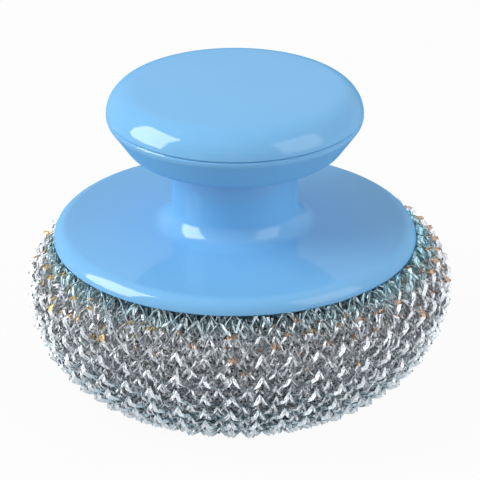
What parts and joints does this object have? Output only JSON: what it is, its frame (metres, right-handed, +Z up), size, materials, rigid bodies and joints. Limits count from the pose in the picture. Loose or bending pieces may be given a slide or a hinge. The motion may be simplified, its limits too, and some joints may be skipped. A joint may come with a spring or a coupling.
{
  "type": "pot scrubber",
  "caption": "Round knitted-steel pot scrubber: a springy wire bun clamped under a gloss plastic flange, with a narrow neck and a capped palm knob for scouring pans.",
  "frame": {"origin": "centre of the flat base of the knitted bun, on the surface that the scrubber rests on", "axes": "+Z up along the axis of the bun, neck and knob; the form is round, so +X and +Y are free"},
  "size_m": [0.1, 0.1, 0.0759],
  "materials": {
    "handle_plastic": "gloss",
    "retainer_plastic": "satin",
    "knitted_steel": "satin",
    "hardware_steel": "satin",
    "draw_wire_steel": "polished"
  },
  "bodies": {
    "scourer": {"mesh_cover": "knitted_steel", "mesh_core": "knitted_steel", "base_draw_wire": "draw_wire_steel"},
    "handle": {"handle_body": "handle_plastic", "knob_cup": "handle_plastic", "mesh_retainer": "retainer_plastic", "clamp_screw": "hardware_steel", "screw_washer": "hardware_steel", "captive_nut": "hardware_steel", "top_draw_wire": "draw_wire_steel"},
    "cap": {"knob_cap": "handle_plastic"}
  },
  "joints": [
    {"name": "press", "type": "slide", "parent": "scourer", "child": "handle", "axis": [0, 0, -1], "range_m": [0, 0.008], "stiffness_N_per_m": 2500, "deforming": ["mesh_cover", "mesh_core"]},
    {"name": "cap_lift", "type": "slide", "parent": "handle", "child": "cap", "axis": [0, 0, 1], "range_m": [0, 0.03]}
  ]
}
